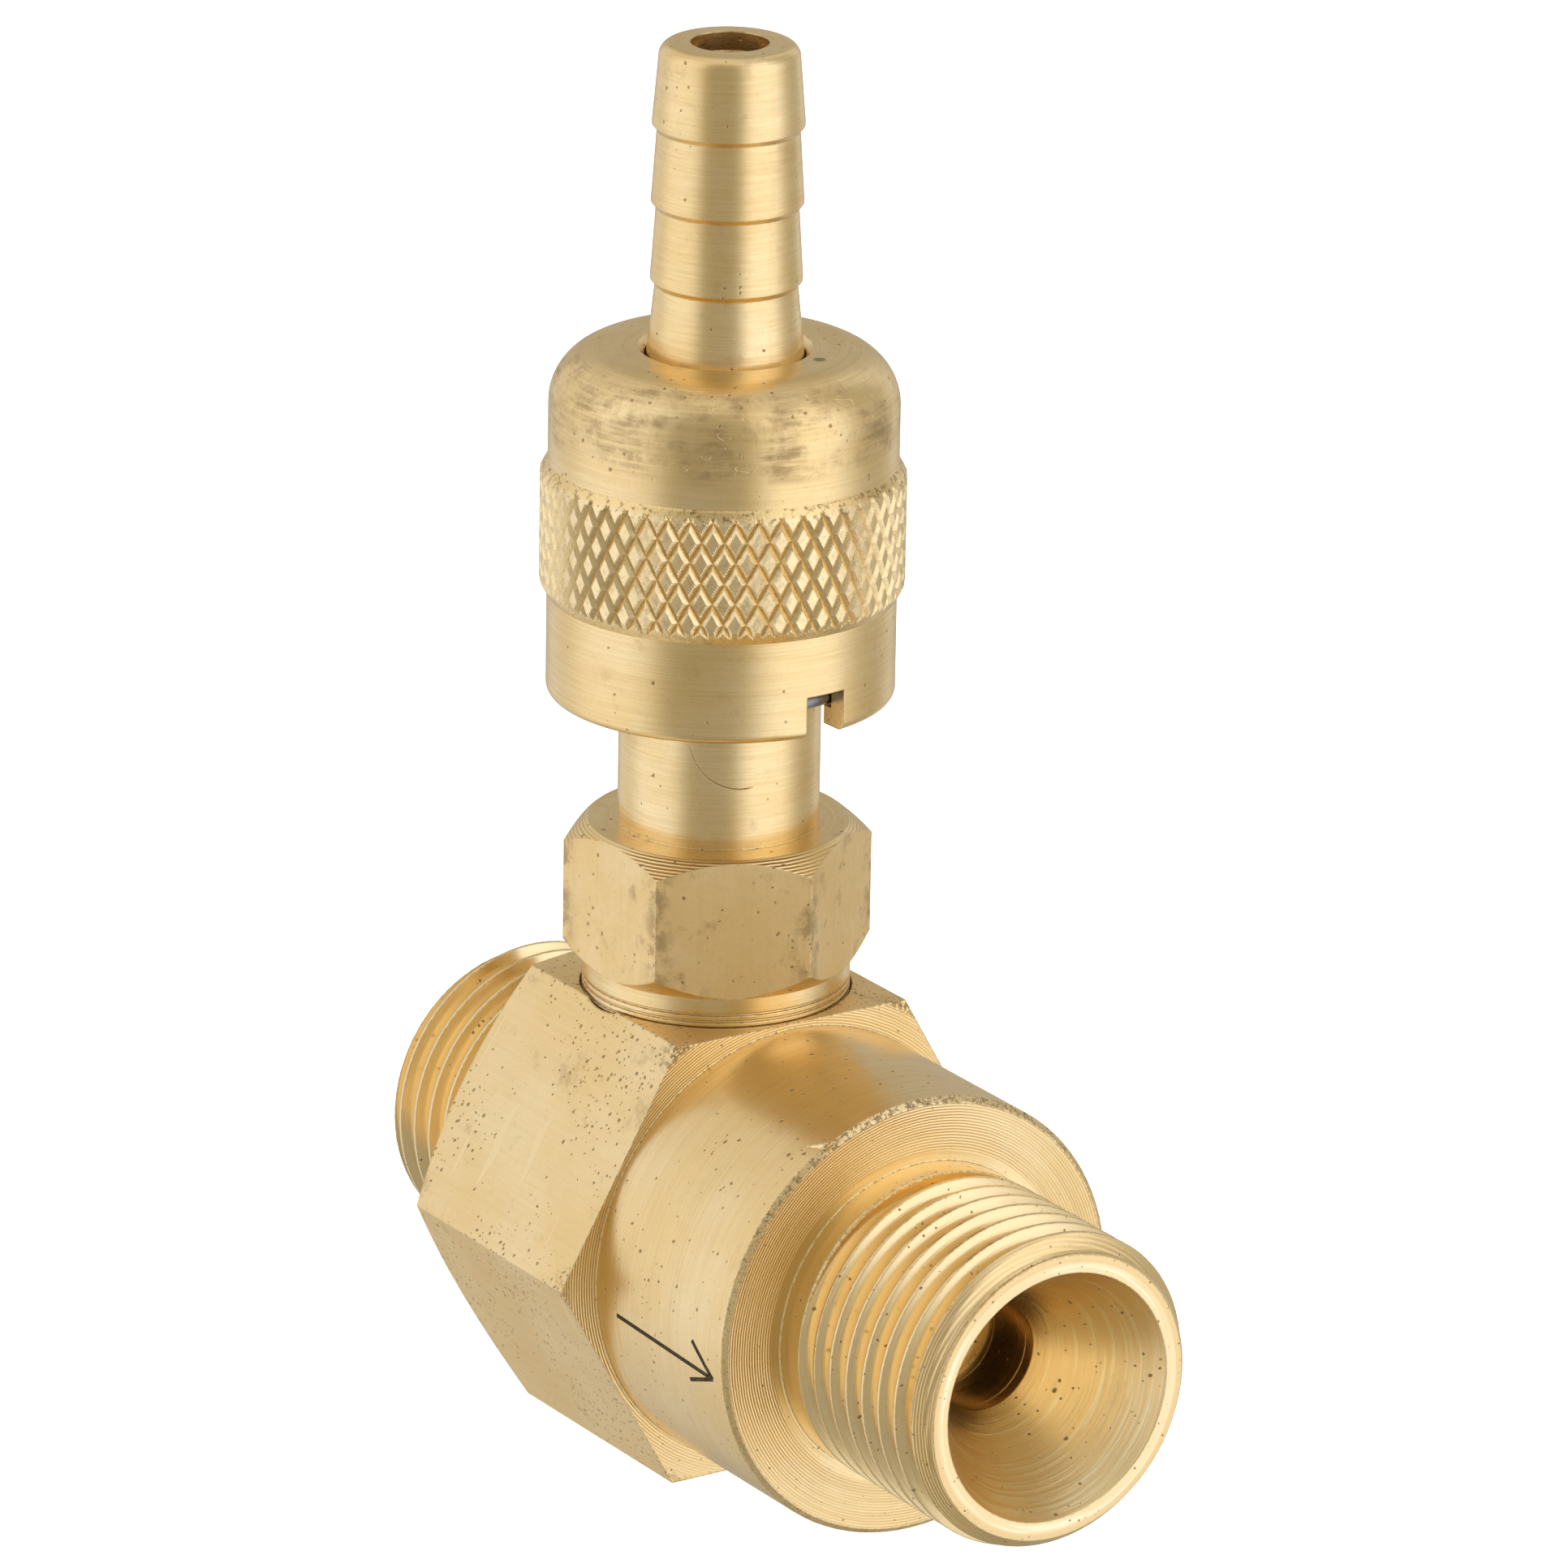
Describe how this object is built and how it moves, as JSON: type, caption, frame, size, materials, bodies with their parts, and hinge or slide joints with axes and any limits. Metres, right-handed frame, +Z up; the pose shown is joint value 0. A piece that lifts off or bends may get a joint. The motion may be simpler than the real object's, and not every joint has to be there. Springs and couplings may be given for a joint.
{
  "type": "needle valve",
  "caption": "Brass injector needle valve: hex venturi body with threaded ends, bonnet with check ball, needle stem with hose tail and knurled knob.",
  "frame": {"origin": "on the bottom flat of the hexagonal body, directly under the valve stem's axis", "axes": "+Z up the stem, +X along the flow towards the outlet, +Y across the body"},
  "size_m": [0.064, 0.0346, 0.0928],
  "materials": {
    "brass_body": "satin machined brass, drawn flats and turned faces",
    "brass_bonnet": "satin machined brass, drawn flats and turned neck",
    "brass_knob": "satin turned brass with a diamond knurl",
    "brass_stem": "satin turned brass",
    "brass_insert": "turned brass, darker and wetted",
    "ball_steel": "polished stainless",
    "spring_steel": "drawn stainless wire",
    "needle_steel": "ground stainless",
    "ring_steel": "drawn spring steel",
    "seal_rubber": "matt black elastomer",
    "washer_plastic": "natural low-friction plastic"
  },
  "bodies": {
    "valve_body": {"injector_body": "brass_body", "inlet_nozzle": "brass_insert", "nozzle_o_ring": "seal_rubber", "diffuser": "brass_insert", "valve_bonnet": "brass_bonnet", "bonnet_o_ring": "seal_rubber", "ball_seat_o_ring": "seal_rubber", "check_spring": "spring_steel"},
    "ball": {"check_ball": "ball_steel"},
    "stem": {"hose_barb_stem": "brass_stem", "metering_needle": "needle_steel", "stem_o_ring_lower": "seal_rubber", "stem_o_ring_upper": "seal_rubber"},
    "knob": {"control_knob": "brass_knob", "thrust_washer_upper": "washer_plastic", "thrust_washer_lower": "washer_plastic", "stem_retaining_ring": "ring_steel", "knob_snap_ring": "ring_steel"}
  },
  "joints": [
    {"name": "stem_lift", "type": "slide", "parent": "valve_body", "child": "stem", "axis": [0, 0, 1], "range_m": [0, 0.0025]},
    {"name": "knob_turn", "type": "hinge", "parent": "stem", "child": "knob", "pos_m": [0, 0, 0.0499], "axis": [0, 0, 1], "range_deg": [0, 720]},
    {"name": "ball_lift", "type": "slide", "parent": "valve_body", "child": "ball", "axis": [0, 0, -1], "range_m": [0, 0.0015], "stiffness_N_per_m": 60, "springref_m": -0.002, "deforming": ["check_spring"]}
  ],
  "couplings": [
    {"joint": "knob_turn", "follows": "stem_lift", "rad_per_m": 5026.5}
  ]
}
